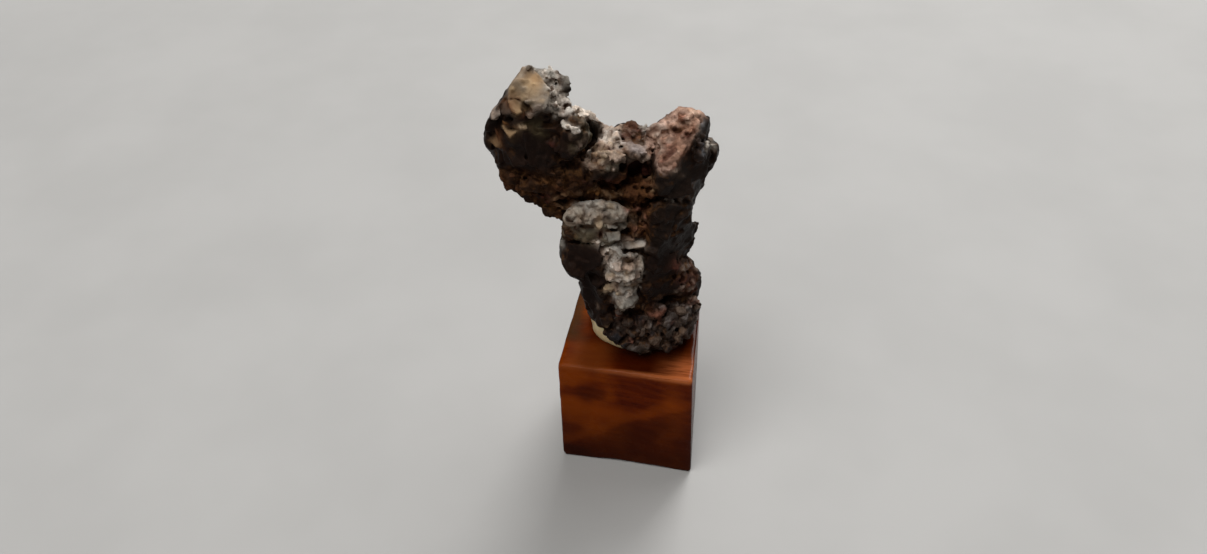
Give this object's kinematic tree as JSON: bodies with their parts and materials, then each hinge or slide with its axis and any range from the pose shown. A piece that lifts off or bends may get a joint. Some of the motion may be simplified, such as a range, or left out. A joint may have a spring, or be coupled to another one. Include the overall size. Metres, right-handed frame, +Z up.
{
  "type": "goethite pseudomorph on a wood block",
  "caption": "Forked, craggy brown mineral specimen with pale crystal faces, fixed with putty upright on a small varnished wood cube.",
  "frame": {"origin": "centre of the wood block's underside", "axes": "+Z up out of the block towards the stone's forks, +X to the right and -Y towards the viewer across the block's front face"},
  "size_m": [0.0367, 0.0231, 0.0819],
  "materials": {
    "goethite": "rough dark brown goethite with satin tan and pale grey crystal faces, ochre in the hollows",
    "putty": "matte cream putty, pressed flat",
    "varnished_wood": "glossy orange-brown varnish over hand-cut wood"
  },
  "bodies": {
    "root": {"goethite_pseudomorph": "goethite", "mounting_putty": "putty", "wood_block": "varnished_wood"}
  },
  "joints": []
}
